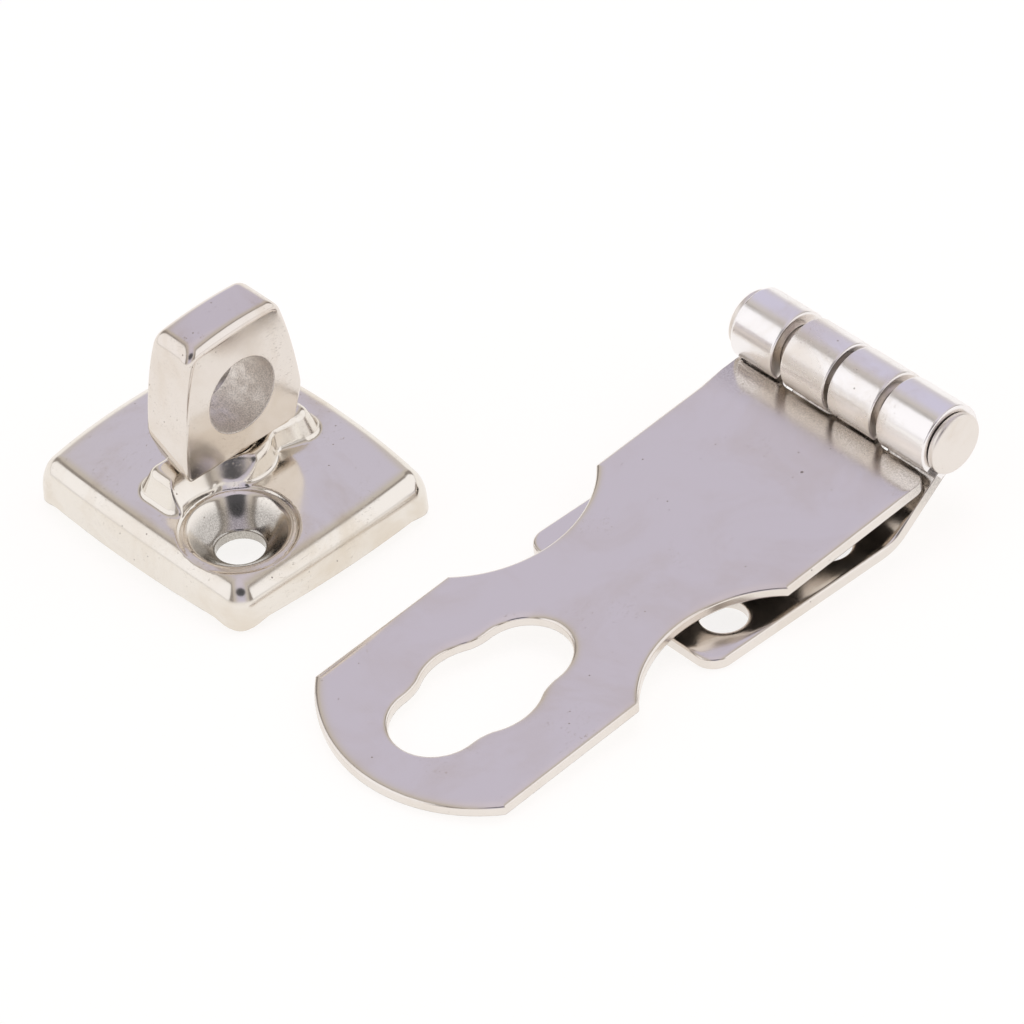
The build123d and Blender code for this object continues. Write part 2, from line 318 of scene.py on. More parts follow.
def surface_quads(inside, index):
    """One quad round each grid edge that the surface crosses, wound to face outwards."""
    quads = []
    for axis in range(3):
        first = tuple(slice(0, -1) if k == axis else slice(None) for k in range(3))
        second = tuple(slice(1, None) if k == axis else slice(None) for k in range(3))
        rising = inside[first] & ~inside[second]
        falling = ~inside[first] & inside[second]
        u, v = (axis + 1) % 3, (axis + 2) % 3
        for crossing, forward in ((rising, True), (falling, False)):
            at = np.argwhere(crossing)
            corner = []
            for du, dv in ((-1, -1), (0, -1), (0, 0), (-1, 0)):
                cell = at.copy()
                cell[:, u] += du
                cell[:, v] += dv
                corner.append(index[tuple(cell.T)])
            quad = np.stack(corner, 1)
            quads.append(quad if forward else quad[:, ::-1])
    return np.concatenate(quads)


def slope(field, points, small=1e-3):
    """Gradient of a field by central differences."""
    columns = []
    for axis in range(3):
        shift = np.zeros(3)
        shift[axis] = small
        columns.append((field(points + shift) - field(points - shift)) / (2 * small))
    return np.stack(columns, -1)


def mesh_field(field, low, high, step):
    """Points, quads and normals of the surface where a field is zero."""
    axes = [np.arange(a - 1.5 * step, b + 2.5 * step, step) for a, b in zip(low, high)]
    corners = np.stack(np.meshgrid(*axes, indexing="ij"), -1)
    values = field(corners)
    inside = values < 0
    total, number = surface_cells(inside, values, corners, step)
    used = number > 0
    index = np.full(number.shape, -1)
    index[used] = np.arange(used.sum())
    points = total[used] / number[used][:, None]
    for _ in range(4):
        gradient = slope(field, points)
        length = np.maximum((gradient**2).sum(-1), 0.05)
        move = -(field(points) / length)[:, None] * gradient
        points = points + np.clip(move, -step / 2, step / 2)
    return points, surface_quads(inside, index).tolist(), unit(slope(field, points))


def round_join(first, second, radius):
    """Union of two fields with a fillet in the corner between them."""
    corner = np.hypot(np.maximum(radius - first, 0), np.maximum(radius - second, 0))
    return np.maximum(radius, np.minimum(first, second)) - corner


def round_cut(first, second, radius, power=2.0):
    """What two fields have in common, with the edge between them rounded over.

    A power above 2 starts the rounding more gently than a plain arc does."""
    first_in, second_in = np.maximum(radius + first, 0), np.maximum(radius + second, 0)
    corner = (first_in**power + second_in**power + 1e-12) ** (1 / power)
    return np.minimum(-radius, np.maximum(first, second)) + corner


def box_2d(x, y, half_x, half_y, corner):
    """Distance to a rectangle with round corners."""
    out_x, out_y = np.abs(x) - half_x + corner, np.abs(y) - half_y + corner
    outside = np.hypot(np.maximum(out_x, 0), np.maximum(out_y, 0))
    return outside + np.minimum(np.maximum(out_x, out_y), 0) - corner


# Pressed dish
DISH_HALF_X, DISH_HALF_Y = (DISH_HIGH - DISH_LOW)[:2] / 2
DISH_TOP = 6.7
DISH_BOW = 0.9
DISH_CORNER = 2.6
DISH_SHOULDER, SHOULDER_POWER = 3.1, 2.5
DISH_CORNER_SHOULDER = 1.0
DISH_DRAFT = 0.035
DOME_RADIUS = 159.0
FOOT_ARCH, FOOT_LENGTH, FOOT_INSET, FOOT_ROUND = 0.9, 4.5, 0.8, 0.3
BOSS_TOP = DISH_HIGH[2]
LOBE_RADIUS = 4.55
BAR_HALF_WIDTH, BAR_HALF_LENGTH, BAR_CORNER = 2.6, 9.1, 1.2
LOBE_FILLET, BOSS_ROUND, BOSS_FILLET = 0.7, 0.7, 0.4
LOBE_SLOPE, BAR_SLOPE, SLOPE_CHANGE = 0.16, 0.5, 3.0
SCREW_HOLE, SCREW_HOLE_ROUND = 2.7, 0.25
FUNNEL_LIP, FUNNEL_DEPTH, FUNNEL_RUN, FUNNEL_COSINE = 5.8, 0.5, 0.85, 0.76
FUNNEL_FLOOR, FLOOR_RISE, FLOOR_CURVE, FLOOR_COSINE = 3.6, 0.12, 0.13, 0.90
FUNNEL_ROUND, RIM_ROUND = 1.0, 0.35
LEDGE_RADIUS, LEDGE_DEPTH, LEDGE_ROUND = 6.35, 0.28, 0.2
STEM_HOLE, STEM_HOLE_ROUND = 2.9, 0.2
DISH_STEP, QUICK_STEP = 0.215, 0.3


def dish_outside(p):
    """The dish's outer skin as a filled block: domed, with a lobed boss and funnels round the screws."""
    x, y, z = p[..., 0], p[..., 1], p[..., 2]
    inset = DISH_DRAFT * z + 0.02
    side_x = DISH_HALF_X - DISH_BOW * (y / DISH_HALF_Y) ** 2 - inset
    side_y = DISH_HALF_Y - DISH_BOW * (x / DISH_HALF_X) ** 2 - inset
    sides = box_2d(x, y, side_x, side_y, DISH_CORNER)
    dome = np.sqrt(x**2 + y**2 + (z - DISH_TOP + DOME_RADIUS) ** 2) - DOME_RADIUS
    to_corner = (np.abs(x / DISH_HALF_X) * np.abs(y / DISH_HALF_Y)) ** 3
    shoulder = DISH_SHOULDER + DISH_CORNER_SHOULDER * np.clip(to_corner, 0, 1)
    block = round_cut(sides, dome, shoulder, SHOULDER_POWER)
    bar = box_2d(x, y, BAR_HALF_WIDTH, BAR_HALF_LENGTH, BAR_CORNER)
    lobes = round_join(bar, np.hypot(x, y) - LOBE_RADIUS, LOBE_FILLET)
    beyond_lobe = np.clip((np.abs(y) - LOBE_RADIUS) / SLOPE_CHANGE, 0, 1)
    slant = LOBE_SLOPE + (BAR_SLOPE - LOBE_SLOPE) * beyond_lobe
    flank = (lobes + slant * (z - BOSS_TOP)) / np.hypot(1, slant)
    boss = round_cut(flank, z - BOSS_TOP, BOSS_ROUND)
    body = round_join(block, boss, BOSS_FILLET)
    for sign in (1, -1):
        radius = np.hypot(x - sign * SCREW_ACROSS_DISH, y + sign * SCREW_BACK_DISH)
        ledge = round_cut(radius - LEDGE_RADIUS, -dome - LEDGE_DEPTH, LEDGE_ROUND)
        body = -round_join(-body, ledge, RIM_ROUND)
        wall = (radius - FUNNEL_LIP + FUNNEL_RUN * (DISH_TOP - FUNNEL_DEPTH - z)) * FUNNEL_COSINE
        past_hole = np.maximum(radius - SCREW_HOLE, -0.5)
        floor = FUNNEL_FLOOR + FLOOR_RISE * past_hole + FLOOR_CURVE * past_hole**2 - z
        funnel = round_cut(wall, floor * FLOOR_COSINE, FUNNEL_ROUND)
        body = -round_join(-body, funnel, RIM_ROUND)
    return body


def dish_field(p):
    """The dish as a shell, open below, with arches between its feet and holes for screws and stem."""
    x, y, z = p[..., 0], p[..., 1], p[..., 2]
    skin = dish_outside(p)
    shell = np.maximum(skin, -(skin + SHEET))
    past_x = np.clip((DISH_HALF_X - FOOT_INSET - np.abs(x)) / FOOT_LENGTH, 0, 1)
    past_y = np.clip((DISH_HALF_Y - FOOT_INSET - np.abs(y)) / FOOT_LENGTH, 0, 1)
    past = np.maximum(past_x, past_y)
    shell = round_cut(shell, FOOT_ARCH * past**2 * (3 - 2 * past) - z, FOOT_ROUND)
    for sign in (1, -1):
        hole = SCREW_HOLE - np.hypot(x - sign * SCREW_ACROSS_DISH, y + sign * SCREW_BACK_DISH)
        shell = round_cut(shell, hole, SCREW_HOLE_ROUND)
    return round_cut(shell, STEM_HOLE - np.hypot(x, y), STEM_HOLE_ROUND)


def staple_base():
    shift = np.array([STAPLE[0], STAPLE[1], 0])
    step = DISH_STEP
    points, quads, normals = mesh_field(dish_field, DISH_LOW - shift, DISH_HIGH - shift, step)
    return add_piece("pressed_dish", points + shift, quads, normals, [DISH_STEEL],
                     "base", ["staple_base"])


# Cast eye
HEAD_BOTTOM = BOSS_TOP + 0.35
HEAD_TOP = HEAD_HIGH[2]
HEAD_HALF_THICKNESS = 3.28
HEAD_BOTTOM_HALF = (HEAD_HIGH[1] - HEAD_LOW[1]) / 2
HEAD_TOP_HALF = 6.25
HEAD_END_CORNER, HEAD_END_CORNER_GAIN, BLOCK_POWER = 0.9, 0.6, 2.4
TAPER_CURVE, CROWN_LONG, CROWN_ACROSS = 1.9, 0.5, 0.15
HOLLOW_ENDS, THIN_TOP = 0.12, 0.25
LOW_ROLL, HIGH_ROLL, ROLL_TILT, ROLL_CURVE = 0.55, 1.05, 0.06, 6
FACET_ROUND, UNDERSIDE_ROUND, BORE_ROUND = 0.35, 0.25, 0.12
STEM_RADIUS, STEM_INTO_HEAD, STEM_FILLET = 2.8, 0.6, 0.15
STEM_BOTTOM = HEAD_LOW[2]
FOOT_RADIUS, FOOT_HALF_HEIGHT, FOOT_EDGE = 3.8, 0.5, 0.2
EYE_STEP = 0.17
FACET = unit(np.array([-0.19, -0.927, -0.323]))
FACET_PLACE = np.array([3.2, -8.35, HEAD_BOTTOM + 0.5])


def head_field(p):
    """Tapered block with tumbled edges and a round eye, on its stem with a headed foot."""
    x, y, z = p[..., 0], p[..., 1], p[..., 2]
    height = np.clip((z - HEAD_BOTTOM) / (HEAD_TOP - HEAD_BOTTOM), 0, 1)
    half = HEAD_BOTTOM_HALF - 0.05 + (HEAD_TOP_HALF - HEAD_BOTTOM_HALF) * height**TAPER_CURVE
    middle, tall = (HEAD_TOP + HEAD_BOTTOM) / 2, (HEAD_TOP - HEAD_BOTTOM) / 2
    crown = CROWN_LONG * (y / HEAD_TOP_HALF) ** 2 * height
    crown = crown + CROWN_ACROSS * (x / HEAD_HALF_THICKNESS) ** 2 * height
    front = box_2d(y, z - middle + crown, half, tall, HEAD_END_CORNER + HEAD_END_CORNER_GAIN * height)
    to_end = np.clip(y / HEAD_BOTTOM_HALF, -1, 1) ** 2
    pillow = HEAD_HALF_THICKNESS - HOLLOW_ENDS * to_end - THIN_TOP * height**3
    roll = LOW_ROLL + (HIGH_ROLL - ROLL_TILT * y) * height**ROLL_CURVE
    block = round_cut(front, np.abs(x) - pillow, roll, BLOCK_POWER)
    for sign in (1, -1):
        turned_round = np.stack([sign * x, sign * y, z], -1) - FACET_PLACE
        block = round_cut(block, turned_round @ FACET, FACET_ROUND)
    block = round_cut(block, HEAD_BOTTOM - z, UNDERSIDE_ROUND)
    block = round_cut(block, EYE_RADIUS - np.hypot(y, z - EYE_HEIGHT), BORE_ROUND)
    radius = np.hypot(x, y)
    ends = np.maximum(z - HEAD_BOTTOM - STEM_INTO_HEAD, STEM_BOTTOM - z)
    stem = np.maximum(radius - STEM_RADIUS, ends)
    foot_ends = np.abs(z - STEM_BOTTOM - FOOT_HALF_HEIGHT) - FOOT_HALF_HEIGHT
    foot = round_cut(radius - FOOT_RADIUS, foot_ends, FOOT_EDGE)
    return np.minimum(round_join(block, stem, STEM_FILLET), foot)


def swivel_staple():
    shift = np.array([STAPLE[0], STAPLE[1], 0])
    step = EYE_STEP
    points, quads, normals = mesh_field(head_field, HEAD_LOW - shift, HEAD_HIGH - shift, step)
    return add_piece("cast_eye", points + shift, quads, normals, [EYE_STEEL],
                     "swivel", ["swivel_staple"])


# Formed sheet: a flat blank is outlined, its edges are eased, and then it is bent and rolled.

def arc(centre, radius, start, end, step=0.35):
    """Points along an arc, both ends included, angles in degrees."""
    count = max(int(abs(math.radians(end - start)) * radius / step), 4)
    angles = np.radians(np.linspace(start, end, count + 1))
    return [(centre[0] + radius * math.cos(a), centre[1] + radius * math.sin(a)) for a in angles]


def spread(loop, step=0.36):
    """Add points along the long straight stretches of a closed outline."""
    made = []
    for (ax, ay), (bx, by) in zip(loop, loop[1:] + loop[:1]):
        count = max(int(math.hypot(bx - ax, by - ay) / step), 1)
        made += [(ax + (bx - ax) * k / count, ay + (by - ay) * k / count) for k in range(count)]
    return made


def ease(loop, radii):
    """Round the corners of a closed polygon; radii has one value for each point."""
    made = []
    for k, point in enumerate(loop):
        here, before, after = (np.array(q, float) for q in (point, loop[k - 1], loop[(k + 1) % len(loop)]))
        into, out = unit(here - before), unit(after - here)
        turn = math.atan2(into[0] * out[1] - into[1] * out[0], float(into @ out))
        if radii[k] == 0 or abs(turn) < 0.01:
            made.append(point)
            continue
        reach = radii[k] * math.tan(abs(turn) / 2)
        start = here - into * reach
        side = np.array([-into[1], into[0]]) * math.copysign(1, turn)
        centre = start + side * radii[k]
        first = math.degrees(math.atan2(*(start - centre)[::-1]))
        made += arc(centre, radii[k], first, first + math.degrees(turn), 0.2)
    return made


CHUNK = 2000


def boundary_distance(points, loops):
    """Distance from each point to the nearest outline, and the direction to it."""
    best = np.full(len(points), 1e9)
    towards = np.zeros((len(points), 2))
    for loop in loops:
        start = np.array(loop)
        along = np.roll(start, -1, 0) - start
        length = np.maximum((along**2).sum(1), 1e-12)
        for chunk in range(0, len(points), CHUNK):
            part = points[chunk:chunk + CHUNK]
            share = np.clip(((part[:, None] - start) * along).sum(-1) / length, 0, 1)
            gap = start + along * share[..., None] - part[:, None]
            distance = np.linalg.norm(gap, axis=-1)
            nearest = distance.argmin(1)
            rows = np.arange(len(part))
            closer = distance[rows, nearest] < best[chunk:chunk + CHUNK]
            picked = rows[closer]
            best[chunk + picked] = distance[picked, nearest[picked]]
            towards[chunk + picked] = gap[picked, nearest[picked]]
    return best, unit(towards)


def loop_directions(loop):
    """Outward directions at an outline's points; outer loops run anticlockwise and holes clockwise."""
    points = np.array(loop)
    along = unit(np.roll(points, -1, 0) - points)
    side = np.stack([along[:, 1], -along[:, 0]], 1)
    return unit(side + np.roll(side, 1, 0))


def within(points, loops):
    """Whether each point lies inside the outer loop and outside the holes, by counting crossings."""
    odd = np.zeros(len(points), bool)
    for loop in loops:
        start = np.array(loop)
        end = np.roll(start, -1, 0)
        for chunk in range(0, len(points), CHUNK):
            x, y = points[chunk:chunk + CHUNK, 0:1], points[chunk:chunk + CHUNK, 1:2]
            spans = (start[:, 1] > y) != (end[:, 1] > y)
            rise = np.where(end[:, 1] == start[:, 1], 1e-9, end[:, 1] - start[:, 1])
            cross = start[:, 0] + (y - start[:, 1]) / rise * (end[:, 0] - start[:, 0])
            odd[chunk:chunk + CHUNK] ^= (spans & (x < cross)).sum(1) % 2 == 1
    return odd


def eased_height(distance, width, depth):
    """How far the face has dropped at a distance from its edge, and its slope direction there."""
    width, depth = np.asarray(width) + 0 * distance, np.asarray(depth) + 0 * distance
    share = np.clip(1 - distance / width, 0, 1)
    level = np.cbrt(1 - share**3)
    tilt = unit(np.stack([depth * share**2, width * level**2 + 1e-9], -1))
    return depth * (1 - level), tilt


# Eases are the (width, depth) of the rounding at a sheet's edge. Rings of points follow the edge, at
# insets set out round a quarter circle so that they crowd towards the edge. The upper edges of the tabs
# and of the slots between them are crisper, and change over to the wider ease beyond the slots.
BOTTOM_EASE, CRISP_EASE = (0.35, 0.35), (0.15, 0.12)
RING_ANGLES = (12, 24, 36, 48, 60, 72, 84, 92)
SLOT_REACH = 3.4
CRISP_PAST_SLOT, CRISP_CHANGE = 2.5, 3.0


def sheet_blank(loops, rows, top_ease, bottom_ease):
    """Flat blank: points (across, along, height), faces and directions, before bending."""
    outline = [point for loop in loops for point in loop]
    outward = np.concatenate([loop_directions(loop) for loop in loops])
    extra = []
    widest = max(top_ease[0], bottom_ease[0])
    rings = [widest * (1 - math.cos(math.radians(angle))) for angle in RING_ANGLES]
    for inset in rings:
        ring = np.array(outline) - outward * inset
        distance, _ = boundary_distance(ring, loops)
        keep = (distance > inset * 0.96) & within(ring, loops)
        extra.append(ring[keep])
    rows = np.array(rows).reshape(-1, 2)
    if len(rows):
        distance, _ = boundary_distance(rows, loops)
        extra.append(rows[within(rows, loops) & (distance > rings[-1] * 1.15)])
    extra = np.concatenate(extra)
    edges, start = [], 0
    for loop in loops:
        count = len(loop)
        edges += [(start + k, start + (k + 1) % count) for k in range(count)]
        start += count
    given = [Vector(p) for p in outline] + [Vector(p) for p in extra.tolist()]
    flat, _, triangles, origin, _, _ = delaunay_2d_cdt(given, edges, [], 0, 1e-5)
    flat = np.array([tuple(p) for p in flat])
    triangles = np.array([t for t in triangles if len(t) == 3])
    centres = flat[triangles].mean(1)
    triangles = triangles[within(centres, loops)]
    where = {}
    for new, olds in enumerate(origin):
        for old in olds:
            where[old] = new
    distance, towards = boundary_distance(flat, loops)
    rim = np.array([where[k] for k in range(len(outline))])
    distance[rim] = 0
    towards[rim] = outward
    sides = []
    for face, (width, depth) in ((1, top_ease), (0, bottom_ease)):
        past = (flat[:, 1] - SLOT_REACH - CRISP_PAST_SLOT) / CRISP_CHANGE
        share = np.clip(past, 0, 1) if face else 1.0
        width = CRISP_EASE[0] + (width - CRISP_EASE[0]) * share
        depth = CRISP_EASE[1] + (depth - CRISP_EASE[1]) * share
        drop, tilt = eased_height(distance, width, depth)
        height = SHEET - drop if face else drop
        sign = 1 if face else -1
        points = np.column_stack([flat, height])
        directions = np.column_stack([towards * tilt[:, :1], sign * tilt[:, 1]])
        sides.append((points, directions))
    count = len(flat)
    points = np.concatenate([sides[0][0], sides[1][0]])
    directions = np.concatenate([sides[0][1], sides[1][1]])
    faces = triangles[:, ::-1].tolist() + (triangles + count).tolist()
    for a, b in edges:
        first, second = where[a], where[b]
        faces.append([second, second + count, first + count, first])
    return points, faces, directions


def turned(values, angle):
    """Rotate (along, height) pairs by an angle for each row."""
    cos, sin = np.cos(angle), np.sin(angle)
    return np.stack([values[:, 0] * cos - values[:, 1] * sin, values[:, 0] * sin + values[:, 1] * cos], 1)


def bend(points, directions, path):
    """Carry a flat blank along a path of (length, turn in degrees) from along = 0, and its roll before 0.

    Height 0 of the blank is the outside of the roll. The answer is (across, reach, height) from the
    pin."""
    along, height = points[:, 1], points[:, 2]
    angle = np.zeros(len(points))
    base = np.stack([along, np.full(len(points), -KNUCKLE_RADIUS + SHEET / 2)], 1)
    start, place, heading = 0.0, np.array([0.0, -KNUCKLE_RADIUS + SHEET / 2]), 0.0
    for length, turn in path:
        here = (along >= start) & (along <= start + length)
        gone = along[here] - start
        turn = math.radians(turn)
        if turn == 0:
            step = np.stack([gone * math.cos(heading), gone * math.sin(heading)], 1)
            end = place + length * np.array([math.cos(heading), math.sin(heading)])
            angle[here] = heading
        else:
            radius = length / turn
            now = heading + turn * gone / length
            step = radius * np.stack([np.sin(now) - math.sin(heading), math.cos(heading) - np.cos(now)], 1)
            last = heading + turn
            end = place + radius * np.array([math.sin(last) - math.sin(heading),
                                             math.cos(heading) - math.cos(last)])
            angle[here] = now
            heading = last
        base[here] = place + step
        start, place = start + length, end
    lift = np.stack([np.zeros(len(points)), height - SHEET / 2], 1)
    made = base + turned(lift, angle)
    facing = turned(directions[:, 1:], angle)
    rolled = along < 0
    roll = -along[rolled] / (KNUCKLE_RADIUS - SHEET / 2)
    radius = KNUCKLE_RADIUS - height[rolled]
    made[rolled] = np.stack([-radius * np.sin(roll), -radius * np.cos(roll)], 1)
    facing[rolled] = turned(directions[rolled, 1:], -roll)
    return np.column_stack([points[:, 0], made]), np.column_stack([directions[:, 0], facing])


def to_row(points, droop=0.0, offset=PIN):
    """(across, reach, height) from the pin to the row frame, dropped about the pin."""
    cos, sin = math.cos(droop), math.sin(droop)
    reach, height = points[:, 1], points[:, 2]
    back, up = -reach * cos - height * sin, -reach * sin + height * cos
    return np.column_stack([points[:, 0], back, up]) + offset


# Leaves
SPANS = [(-HALF_WIDTH, -8.2), (-6.9, -0.4), (0.2, 6.6), (7.5, HALF_WIDTH)]
ROLL_LENGTH = math.radians(306) * (KNUCKLE_RADIUS - SHEET / 2)
SLOT_ROUND, TAB_ROUND, SOFT_CORNER = 1.2, 0.4, 0.35
LEAF_EASE, BASE_EASE = (2.1, 0.5), (1.0, 0.45)
TAB_START, TAB_STEP = 0.6, 0.45
ROOT_CORNER = 2.0
WAIST_START, WAIST_END, WAIST_DEPTH = 24.7, 46.4, 4.9
TIP_START, TIP_RADIUS = 65.5, 19.3
TIP_CENTRE = TIP_START - math.sqrt(TIP_RADIUS**2 - HALF_WIDTH**2)
TIP_REACH = TIP_CENTRE + TIP_RADIUS
SLOT_CENTRE = 55.3
SLOT_END, SLOT_MIDDLE, SLOT_OFFSET = 5.2, 6.7, 6.2
SLOT_FILLET = 1.3
DROOP = math.asin(PIN[2] / math.hypot(TIP_REACH, KNUCKLE_RADIUS)) - math.atan2(KNUCKLE_RADIUS, TIP_REACH)


def leaf_outline():
    """The hasp leaf's blank, anticlockwise from the near root corner, with its two tabs to roll."""
    middle = (WAIST_START + WAIST_END) / 2
    half_chord = (WAIST_END - WAIST_START) / 2
    waist_radius = (half_chord**2 + WAIST_DEPTH**2) / (2 * WAIST_DEPTH)
    centre_x = HALF_WIDTH - WAIST_DEPTH + waist_radius
    opening = math.degrees(math.asin(half_chord / waist_radius))
    right = arc((centre_x, middle), waist_radius, 180 + opening, 180 - opening, 0.5)
    left = [(-x, y) for x, y in reversed(right)]
    side = math.degrees(math.acos(HALF_WIDTH / TIP_RADIUS))
    tip = arc((0, TIP_CENTRE), TIP_RADIUS, side, 180 - side, 0.5)
    tabs = [(SPANS[0][0], -ROLL_LENGTH), (SPANS[0][1], -ROLL_LENGTH), (SPANS[0][1], SLOT_REACH),
            (SPANS[2][0], SLOT_REACH), (SPANS[2][0], -ROLL_LENGTH), (SPANS[2][1], -ROLL_LENGTH),
            (SPANS[2][1], SLOT_REACH), (HALF_WIDTH, SLOT_REACH)]
    loop = right + tip + left + tabs
    radii = [0.0] * len(loop)
    for k in (0, len(right) - 1, len(right), len(right) + len(tip) - 1,
              len(right) + len(tip), len(right) + len(tip) + len(left) - 1):
        radii[k] = SOFT_CORNER
    first = len(loop) - len(tabs)
    tab_radii = (TAB_ROUND, TAB_ROUND, SLOT_ROUND, SLOT_ROUND,
                 TAB_ROUND, TAB_ROUND, SLOT_ROUND, ROOT_CORNER)
    for k, radius in enumerate(tab_radii):
        radii[first + k] = radius
    return spread(ease(loop, radii))


def slot_outline():
    """Three lobes with softened waists, clockwise."""
    angles = np.linspace(0, 2 * math.pi, 181)[:-1]
    low, high = np.zeros(180), np.full(180, 20.0)
    ray = np.stack([np.cos(angles), np.sin(angles)], 1)

    def field(distance):
        x, y = (ray * distance[:, None]).T
        ends = np.minimum(np.hypot(x, y - SLOT_OFFSET), np.hypot(x, y + SLOT_OFFSET)) - SLOT_END
        return round_join(ends, np.hypot(x, y) - SLOT_MIDDLE, SLOT_FILLET)

    for _ in range(40):
        middle = (low + high) / 2
        inside = field(middle) < 0
        low, high = np.where(inside, middle, low), np.where(inside, high, middle)
    loop = ray * low[:, None] + [0, SLOT_CENTRE]
    return spread([tuple(p) for p in loop[::-1]], 0.4)


def tab_rows(spans, start, end, step):
    """Rows of inner points across the tabs, so that they roll up smoothly."""
    rows = []
    for low, high in spans:
        across = np.linspace(low, high, 6)[1:-1]
        for along in np.arange(start, end, step):
            rows += [(x, along) for x in across]
    return rows


def hasp_leaf():
    rows = tab_rows([SPANS[0], SPANS[2]], -ROLL_LENGTH + TAB_START, 0.5, TAB_STEP)
    points, faces, directions = sheet_blank([leaf_outline(), slot_outline()], rows, LEAF_EASE, BOTTOM_EASE)
    points, directions = bend(points, directions, [(TIP_REACH + 1, 0)])
    points = to_row(points, DROOP)
    directions = to_row(directions, DROOP, np.zeros(3))
    return add_piece("cover_leaf", points, faces, directions, [LEAF_STEEL, ROLLED_STEEL],
                     "leaf", ["hasp_leaf"])


BASE_REACH = PIN[1] - BASE_LOW[1]
RAMP_TOP, RAMP_FOOT = 0.8, 8.6
TOP_BEND, FOOT_BEND = 2.0, 5.0
RAMP_DROP = PIN[2] - KNUCKLE_RADIUS
RAMP_ANGLE = math.atan2(RAMP_DROP, RAMP_FOOT - RAMP_TOP)
TOP_TANGENT, FOOT_TANGENT = (radius * math.tan(RAMP_ANGLE / 2) for radius in (TOP_BEND, FOOT_BEND))
RAMP_LENGTH = math.hypot(RAMP_DROP, RAMP_FOOT - RAMP_TOP) - TOP_TANGENT - FOOT_TANGENT
BASE_PATH = [(RAMP_TOP - TOP_TANGENT, 0),
             (TOP_BEND * RAMP_ANGLE, -math.degrees(RAMP_ANGLE)),
             (RAMP_LENGTH, 0),
             (FOOT_BEND * RAMP_ANGLE, math.degrees(RAMP_ANGLE)),
             (BASE_REACH - RAMP_FOOT - FOOT_TANGENT + 1, 0)]
BENDS_END = sum(length for length, _ in BASE_PATH[:4])
FLAT_SHIFT = BENDS_END - RAMP_FOOT - FOOT_TANGENT
SCREW_ACROSS = 9.5
SCREW_REACHES = (13.6, 29.0)
LEAF_SCREW = 2.6
END_CORNER, BASE_ROOT_CORNER = 2.6, 1.2
RAMP_STEP = 0.3
RAMP_START = RAMP_TOP + TOP_TANGENT * math.cos(RAMP_ANGLE)
BASE_SLOT = BASE_PATH[0][0] + BASE_PATH[1][0] + (SLOT_REACH - RAMP_START) / math.cos(RAMP_ANGLE)


def base_leaf():
    end = BASE_REACH + FLAT_SHIFT
    loop = [(HALF_WIDTH, end), (-HALF_WIDTH, end), (-HALF_WIDTH, BASE_SLOT), (SPANS[1][0], BASE_SLOT),
            (SPANS[1][0], -ROLL_LENGTH), (SPANS[1][1], -ROLL_LENGTH), (SPANS[1][1], BASE_SLOT),
            (SPANS[3][0], BASE_SLOT), (SPANS[3][0], -ROLL_LENGTH), (HALF_WIDTH, -ROLL_LENGTH)]
    radii = [END_CORNER, END_CORNER, BASE_ROOT_CORNER, SLOT_ROUND, TAB_ROUND, TAB_ROUND,
             SLOT_ROUND, SLOT_ROUND, TAB_ROUND, TAB_ROUND]
    loops = [spread(ease(loop, radii))]
    for x in (-SCREW_ACROSS, SCREW_ACROSS):
        for reach in SCREW_REACHES:
            loops.append(arc((x, reach + FLAT_SHIFT), LEAF_SCREW, 360, 0, 0.3)[:-1])
    rows = tab_rows([SPANS[1], SPANS[3]], -ROLL_LENGTH + TAB_START, BASE_SLOT, TAB_STEP)
    rows += tab_rows([(-HALF_WIDTH, HALF_WIDTH)], BASE_SLOT - 1, BENDS_END + 1, RAMP_STEP)
    points, faces, directions = sheet_blank(loops, rows, BASE_EASE, BOTTOM_EASE)
    points, directions = bend(points, directions, BASE_PATH)
    points = to_row(points)
    directions = to_row(directions, 0.0, np.zeros(3))
    return add_piece("screw_leaf", points, faces, directions, [LEAF_STEEL, ROLLED_STEEL],
                     "base", ["base_leaf"])


# Pin
def lathe(profile, count=96):
    """Turn a profile of (radius, place) about the X axis; its directions come from its slope."""
    profile = np.array(profile, float)
    angles = np.linspace(0, 2 * math.pi, count + 1)[:-1]
    along = np.gradient(profile, axis=0)
    facing = unit(np.stack([along[:, 1], -along[:, 0]], 1))
    points, directions = [], []
    for (radius, place), (out, forward) in zip(profile, facing):
        ring = np.stack([np.full(count, place), radius * np.cos(angles), radius * np.sin(angles)], 1)
        points.append(ring)
        outward = np.stack([np.full(count, forward), out * np.cos(angles), out * np.sin(angles)], 1)
        directions.append(outward)
    faces = []
    for k in range(len(profile) - 1):
        for j in range(count):
            a, b = k * count + j, k * count + (j + 1) % count
            faces.append([a, b, b + count, a + count])
    faces.append(list(range(count))[::-1])
    faces.append([(len(profile) - 1) * count + j for j in range(count)])
    return np.concatenate(points), faces, np.concatenate(directions)


def hinge_pin():
    """Shank with a flat, softly rounded head at each end."""
    end = (PIN_HIGH[0] - PIN_LOW[0]) / 2
    head_radius = (PIN_HIGH[2] - PIN_LOW[2]) / 2
    thick, rim, shank = 0.9, 0.35, 2.6
    right = [(shank, 0.0), (shank, end - thick - 0.05), (shank + 0.05, end - thick),
             (head_radius - 0.15, end - thick), (head_radius, end - thick + 0.12)]
    right += [(head_radius - rim + rim * math.cos(a), end - rim + rim * math.sin(a))
              for a in np.radians(np.arange(0, 91, 11.25))]
    right += [(head_radius * share, end) for share in (0.85, 0.8, 0.5, 0.02)]
    left = [(radius, -place) for radius, place in right[:0:-1]]
    points, faces, directions = lathe(left + right)
    return add_piece("pin_with_heads", points + PIN, faces, directions, [PIN_STEEL],
                     "base", ["hinge_pin"])


for washer in ("spring_washer", "retaining_washer"):
    frame["nodes"][washer].data.materials.clear()
    frame["nodes"][washer].data.materials.append(PLAIN_STEEL)

